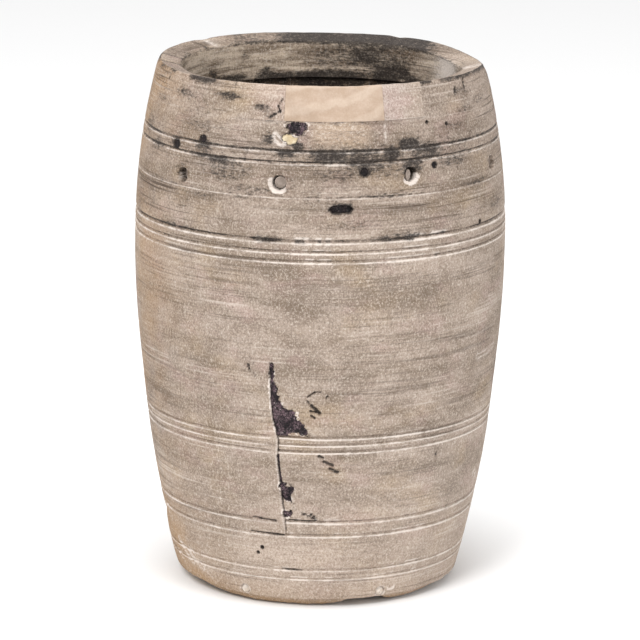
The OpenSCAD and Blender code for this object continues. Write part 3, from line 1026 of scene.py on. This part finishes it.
def wood_figure_group():
    """Growth rings cut by the turning, short pores along the grain and a fine fuzz."""
    outputs = ("Rings", "Pores", "Flecks", "Dark Fuzz", "Pale Fuzz")
    sh, given = new_group("wood_figure", {"Ring Scale": 60.0}, outputs)
    heart = sh.add("Mapping", {
        "Vector": sh.place, "Location": (-0.012, 0.015, 0.0), "Rotation": (0.13, 0.10, 0.0),
        "Scale": (1.0, 1.0, 0.30)}).outputs[0]
    bend = sh.add("TexNoise", {"Vector": heart, "Scale": 14.0, "Detail": 3.0}).outputs[1]
    bent = sh.vector("MULTIPLY", {0: bend, 1: (0.012, 0.012, 0.012)})
    waves = sh.add("TexWave", {
        "Vector": sh.vector("ADD", {0: heart, 1: bent}), "Scale": given["Ring Scale"],
        "Distortion": 0.6, "Detail": 3.0, "Detail Scale": 1.5},
        wave_type="RINGS", rings_direction="Z")
    pores = sh.step(sh.noise((560, 560, 130), 3.0, 0.7), 0.56, 0.68)
    where = sh.step(sh.noise(20), 0.42, 0.62)
    flecks = sh.step(sh.noise((430, 430, 95), 3.0, 0.7), 0.56, 0.70)
    belly = sh.step(sh.noise((17, 17, 24)), 0.46, 0.64)
    fuzz = sh.noise((760, 760, 620), 4.0, 0.8)
    return sh.give({
        "Rings": sh.step(waves.outputs[1], 0.45, 0.95),
        "Pores": sh.times(pores, where),
        "Flecks": sh.times(flecks, belly),
        "Dark Fuzz": sh.step(fuzz, 0.50, 0.66),
        "Pale Fuzz": sh.step(fuzz, 0.50, 0.36),
    })


def ragged_mask_group():
    """Breaks the soft edge of a painted mask into flecks and tongues."""
    inputs = {"Mask": 0.0, "Scale": 160.0, "Break Up": 0.5, "Sharpness": 0.2}
    sh, given = new_group("ragged_mask", inputs, ("Mask",))
    long = sh.vector("MULTIPLY", {0: sh.place, 1: (1.0, 1.0, 2.4)})
    scaled = sh.vector("SCALE", {0: long, "Scale": given["Scale"]})
    flecks = sh.even_noise(scaled, 5.0, 0.7)
    swing = sh.times(sh.minus(flecks, 0.5), given["Break Up"])
    moved = sh.plus(given["Mask"], sh.times(swing, 2.4))
    low, high = sh.minus(0.5, given["Sharpness"]), sh.plus(0.5, given["Sharpness"])
    gate = sh.step(given["Mask"], 0.02, 0.16)
    return sh.give({"Mask": sh.times(sh.step(moved, low, high), gate)})


def grime_group():
    """Darkens a colour in blotches, the way old wood grows grimy."""
    inputs = {"Color": None, "Scale": 14.0, "Amount": 0.3}
    sh, given = new_group("grime", inputs, ("Color",))
    scaled = sh.vector("SCALE", {0: sh.place, "Scale": given["Scale"]})
    blotch = sh.even_noise(scaled, 7.0, 0.65)
    dark = sh.times(sh.step(blotch, 0.42, 0.72), given["Amount"])
    return sh.give({"Color": sh.mix(dark, given["Color"], (110, 92, 74), "MULTIPLY")})


GROUPS = {
    "lathe_lines": lathe_lines_group(), "wood_figure": wood_figure_group(),
    "ragged_mask": ragged_mask_group(), "grime": grime_group(),
}


def new_material(name):
    material = bpy.data.materials.new(name)
    material.use_nodes = True
    material.node_tree.nodes.clear()
    sh = Shader(material.node_tree, material=material)
    sh.place = sh.add("TexCoord").outputs["Object"]
    return sh


# ---------------------------------------------------------------- materials
# Low, high and warm shades of the shell's wood
SHELL_SHADES = ((138, 123, 109), (174, 158, 145), (164, 142, 114))


def limed_wood(name, shades, figure_strength, wear, fade=None):
    """Old turned hardwood, grey with limewash, with grime, sooty marks and bare chips, and with
    painted shade and painted light.

    With fade, two distances to the right, the colours blend from the shell's at the
    first to the given ones at the second.
    """
    sh = new_material(name)
    soot_and_shade, lime_and_highlight, tan, inside = sh.marks()
    place = sh.add("SeparateXYZ", {"Vector": sh.place}).outputs
    height = place["Z"]
    low, high, warm = shades
    if fade:
        ends = (0.0, 1.0) if fade[0] < fade[1] else (1.0, 0.0)
        blend = sh.step(place["X"], min(fade), max(fade), *ends)
        low, high, warm = (sh.mix(blend, old, new) for old, new in zip(SHELL_SHADES, shades))
    lathe = sh.use("lathe_lines", {"Strength": sh.step(height, 0.26, 0.31, 0.55, 1.0)})
    figure = sh.use("wood_figure", {"Ring Scale": 150.0})

    yellow = sh.step(sh.noise((19, 19, 27), 4.0), 0.5, 0.72, 0.0, 0.55)
    pink = sh.step(sh.noise((30, 30, 44), 4.0), 0.52, 0.70, 0.0, 0.45)
    body = sh.mix(sh.step(sh.noise((11, 11, 44), 6.0, 0.7), 0.36, 0.64), low, high)
    body = sh.mix(yellow, body, warm)
    body = sh.mix(pink, body, (170, 144, 137))
    body = sh.mix(sh.times(figure["Rings"], figure_strength), body, (128, 110, 94))
    # Painted light: the wood is painted lighter towards the bottom of the drum, standing in for light
    # there.
    body = sh.mix(sh.step(height, 0.13, 0.0, 0.0, 0.65), body, (190, 172, 157))
    body = sh.mix(tan, body, (166, 137, 107))
    body = sh.use("grime", {"Color": body, "Scale": 17.0, "Amount": 0.36 * wear})["Color"]

    # Inside the mouth, above the ledge the wall is painted paler than the outside wood as painted
    # light; below it the rough carved wood's tone is darkened as painted shade.
    streaks = sh.step(sh.noise((26, 26, 150), 5.0, 0.7), 0.38, 0.64)
    gouges = sh.step(sh.noise((60, 60, 90), 4.0), 0.4, 0.6)
    carved_and_shaded = sh.mix(gouges, (84, 67, 52), (142, 121, 99))
    deep = sh.step(height, 0.3695, 0.3655)
    lit_and_shaded_hollow = sh.mix(deep, sh.mix(streaks, (122, 106, 89), (204, 186, 166)), carved_and_shaded)
    body = sh.cover(sh.mix(inside, body, lit_and_shaded_hollow), (
        (figure["Pores"], 0.26, (104, 88, 74)), (figure["Flecks"], 0.42, (214, 202, 190)),
        (figure["Dark Fuzz"], 0.54, (96, 82, 70)), (figure["Pale Fuzz"], 0.54, (212, 200, 188)),
        (lathe["Dark"], 0.88 * wear, (72, 60, 51)), (lathe["Pale"], 0.36, (214, 202, 191)),
    ))

    # Pale marks: limewash and bare chips, and the painted highlight along the grooves' lower lips.
    powder_and_highlight = sh.use("ragged_mask", {
        "Mask": lime_and_highlight, "Scale": 420.0, "Break Up": 0.55, "Sharpness": 0.3})["Mask"]
    powder_and_highlight = sh.maths("MAXIMUM", powder_and_highlight, sh.times(lime_and_highlight, 0.45))
    # Dark marks: sooty grime, and painted shade in the grooves, the peg holes and deep inside the
    # mouth.
    smoke_and_shade = sh.use("ragged_mask", {
        "Mask": soot_and_shade, "Scale": 260.0, "Break Up": 0.8, "Sharpness": 0.5})["Mask"]
    smoke_and_shade = sh.maths("MAXIMUM", smoke_and_shade, sh.times(soot_and_shade, 0.5))
    smoke_and_shade = sh.times(smoke_and_shade, sh.minus(1.0, sh.times(figure["Pale Fuzz"], 0.14)))
    dirt_and_shade = sh.mix(sh.step(smoke_and_shade, 0.3, 0.85), (78, 62, 50), (27, 22, 21))
    body = sh.cover(body, ((powder_and_highlight, 0.82, (224, 213, 204)), (smoke_and_shade, 0.93, dirt_and_shade)))

    relief = sh.plus(sh.times(lathe["Height"], 0.5), sh.times(figure["Pores"], -0.4))
    relief = sh.plus(relief, sh.times(figure["Dark Fuzz"], -0.35))
    relief = sh.plus(relief, sh.times(figure["Pale Fuzz"], 0.3))
    return sh.finish(body, sh.step(smoke_and_shade, 0.0, 1.0, 0.88, 0.62), relief, 0.6, 0.5 * MM)


def fresh_wood():
    """Newer planed wood of the middle rim block, with faint arched figure."""
    sh = new_material("fresh_wood")
    soot_and_shade = sh.marks()[0]
    figure = sh.use("wood_figure", {"Ring Scale": 90.0})
    lathe = sh.use("lathe_lines", {"Strength": 0.5})
    cloud = sh.step(sh.noise((40, 40, 60), 4.0), 0.35, 0.68)
    body = sh.cover(sh.mix(cloud, (164, 143, 124), (178, 158, 141)), (
        (figure["Rings"], 0.4, (194, 177, 161)), (figure["Pores"], 0.12, (140, 116, 98)),
        (figure["Dark Fuzz"], 0.14, (150, 122, 98)), (figure["Pale Fuzz"], 0.2, (196, 181, 167)),
        (lathe["Dark"], 0.2, (150, 128, 108)),
    ))
    body = sh.use("grime", {"Color": body, "Scale": 32.0, "Amount": 0.18})["Color"]
    smoke_and_shade = sh.use("ragged_mask", {
        "Mask": soot_and_shade, "Scale": 430.0, "Break Up": 0.9, "Sharpness": 0.35})["Mask"]
    body = sh.cover(body, ((smoke_and_shade, 0.8, (64, 52, 46)),))
    relief = sh.plus(sh.times(figure["Rings"], 0.5), sh.times(figure["Dark Fuzz"], -0.3))
    return sh.finish(body, 0.82, sh.plus(relief, sh.times(lathe["Height"], 0.3)))


def end_grain(name, pale, dark, check_scale):
    """Cut or broken end of a pin, with short dark checks and grime."""
    sh = new_material(name)
    blotch = sh.step(sh.noise(240, 4.0), 0.35, 0.65)
    checks = sh.step(sh.noise(check_scale, 2.0), 0.58, 0.70)
    body = sh.cover(sh.mix(blotch, dark, pale), ((checks, 0.45, (92, 78, 66)),))
    body = sh.use("grime", {"Color": body, "Scale": 120.0, "Amount": 0.35})["Color"]
    return sh.finish(body, 0.86, sh.minus(blotch, checks), 0.5, 0.3 * MM)


def pitch(name, dark, pale, dust_amount):
    """Hard black pitch with a purple cast, crazed, with pale dust and chips on it."""
    sh = new_material(name)
    cells = sh.add("TexVoronoi", {"Vector": sh.place, "Scale": 420.0}, feature="DISTANCE_TO_EDGE")
    cracks = sh.step(cells.outputs[0], 0.02, 0.10)
    cloud = sh.noise(150, 5.0, 0.7)
    dust = sh.step(sh.noise(430, 5.0, 0.75), 0.56, 0.68)
    body = sh.mix(sh.step(cloud, 0.38, 0.64), dark, pale)
    body = sh.cover(body, ((dust, dust_amount, (160, 150, 147)),))
    body = sh.mix(sh.minus(1.0, cracks), body, (12, 9, 10))
    rough = sh.step(cloud, 0.3, 0.7, 0.42, 0.72)
    return sh.finish(body, rough, sh.plus(cracks, cloud), 0.6, 0.6 * MM)


def putty():
    """Pale yellowish filler, dry and a little crumbly."""
    sh = new_material("putty")
    cloud = sh.step(sh.noise(220, 4.0, 0.6), 0.38, 0.64)
    crumbs = sh.noise(700, 3.0, 0.7)
    body = sh.mix(cloud, (178, 160, 130), (206, 193, 166))
    body = sh.mix(sh.step(crumbs, 0.6, 0.72, 0.0, 0.5), body, (140, 118, 92))
    return sh.finish(body, 0.9, crumbs)


LEFT_SHADES = ((160, 142, 129), (182, 163, 149), (172, 148, 130))
RIGHT_SHADES = ((172, 157, 148), (190, 175, 166), (180, 162, 148))
PEG_WOOD = end_grain("peg_end_grain", (152, 139, 130), (122, 110, 101), 900.0)
PLUG_WOOD = end_grain("plug_end_grain", (224, 214, 204), (190, 175, 160), 1100.0)
FILLERS = {
    "dusty_pitch": pitch("dusty_pitch", (26, 18, 23), (98, 80, 85), 0.75),
    "clean_pitch": pitch("clean_pitch", (16, 11, 12), (44, 35, 35), 0.3),
    "putty": putty(),
}


# ---------------------------------------------------------------- the pieces
make_shell(limed_wood("limed_wood", SHELL_SHADES, 0.24, 1.0))
make_rim_block(
    0, "left_block",
    limed_wood("left_block_wood", LEFT_SHADES, 0.2, 0.75, (-60 * MM, -38 * MM)), 0.25 * MM)
make_rim_block(1, "middle_block", fresh_wood(), 0.45 * MM)
make_rim_block(
    2, "right_block",
    limed_wood("right_block_wood", RIGHT_SHADES, 0.2, 0.4, (70 * MM, 52 * MM)), 0.3 * MM)

for index, peg in enumerate(PEGS, 1):
    z = peg.height * MM
    shift = Matrix.Translation((peg.across * MM, peg.up * MM, 0))
    lie = shift @ Matrix.Diagonal((peg.squash, 1, 1, 1))
    make_pin(
        f"broken_peg_{index}", f"peg_stub_{index}", PEG_WOOD,
        radial_frame(peg.bearing, outer_r(z) - peg.deep * MM, z) @ lie,
        peg.radius * MM, STUB_LENGTH, 0.35 * MM, 0.2 * MM, index * 3.0)
for index, bearing in enumerate(PLUG_BEARINGS, 1):
    make_pin(
        f"plug_{index}", f"foot_plug_{index}", PLUG_WOOD,
        radial_frame(bearing, outer_r(PLUG_Z) - 1.1 * MM, PLUG_Z),
        PLUG_R, PLUG_LENGTH, 0.45 * MM, 0.5 * MM, index * 5.0)

for node, (bearing, height, recess, _, outline) in FILLED.items():
    stuff = {"rim_putty": "putty", "slot_pitch": "clean_pitch"}.get(node, "dusty_pitch")
    make_filling(
        node.replace("pitch", "fill").replace("putty", "patch"), node,
        FILLERS[stuff], bearing, height * MM, outline, recess * MM, 0.9 * MM)
for node, (bearing, height, radius) in SPOTS.items():
    angles = [math.radians(d) for d in range(0, 360, 30)]
    ring = tuple((radius * math.cos(a), radius * math.sin(a)) for a in angles)
    make_filling(
        node.replace("pitch", "fill"), node, FILLERS["clean_pitch"],
        bearing, height * MM, ring, 0.6 * MM, 0.35 * MM, 0.5)


# ---------------------------------------------------------------- floor, light and camera
def make_floor(size):
    bm = bmesh.new()
    bmesh.ops.create_grid(bm, x_segments=1, y_segments=1, size=size)
    mesh = bpy.data.meshes.new("floor")
    bm.to_mesh(mesh)
    bm.free()
    mesh.materials.append(new_material("floor_paper").finish((0.93, 0.93, 0.93, 1.0), 0.9))
    add_object("floor", mesh)


def make_light(name, place, target, size, power):
    lamp = bpy.data.lights.new(name, "AREA")
    lamp.shape = "DISK"
    lamp.size = size
    lamp.energy = power
    light = add_object(name, lamp)
    light.location = place
    light.rotation_euler = (Vector(target) - Vector(place)).to_track_quat("-Z", "Y").to_euler()


def make_sky(strength):
    world = bpy.data.worlds.new("studio")
    world.use_nodes = True
    sky = world.node_tree.nodes["Background"].inputs
    sky["Color"].default_value = (1.0, 1.0, 1.0, 1.0)
    sky["Strength"].default_value = strength
    bpy.context.scene.world = world


def make_camera(right, distance, height, tilt, roll, lens):
    """The scene's camera, in front of the drum and tilted down by tilt degrees."""
    data = bpy.data.cameras.new("camera")
    data.sensor_width = 36
    data.lens = lens
    data.clip_end = 100
    camera = add_object("camera", data)
    camera.location = (right, -distance, height)
    look = Matrix.Rotation(math.radians(90 - tilt), 4, "X")
    camera.rotation_euler = (look @ Matrix.Rotation(math.radians(roll), 4, "Z")).to_euler()
    bpy.context.scene.camera = camera


make_floor(size=14)
make_sky(strength=0.85)
make_light("key", (-1.1, -2.4, 2.6), (0, 0, 0.2), 1.4, 62)
make_light("fill", (2.0, -2.0, 1.2), (0, 0, 0.2), 1.6, 14)
make_light("top", (0.0, -0.35, 2.6), (0, 0.1, 0.4), 1.0, 30)
make_camera(right=0.55 * MM, distance=3.047, height=0.907, tilt=13.11, roll=0.497, lens=229.6)
bpy.context.scene.view_settings.view_transform = "Standard"
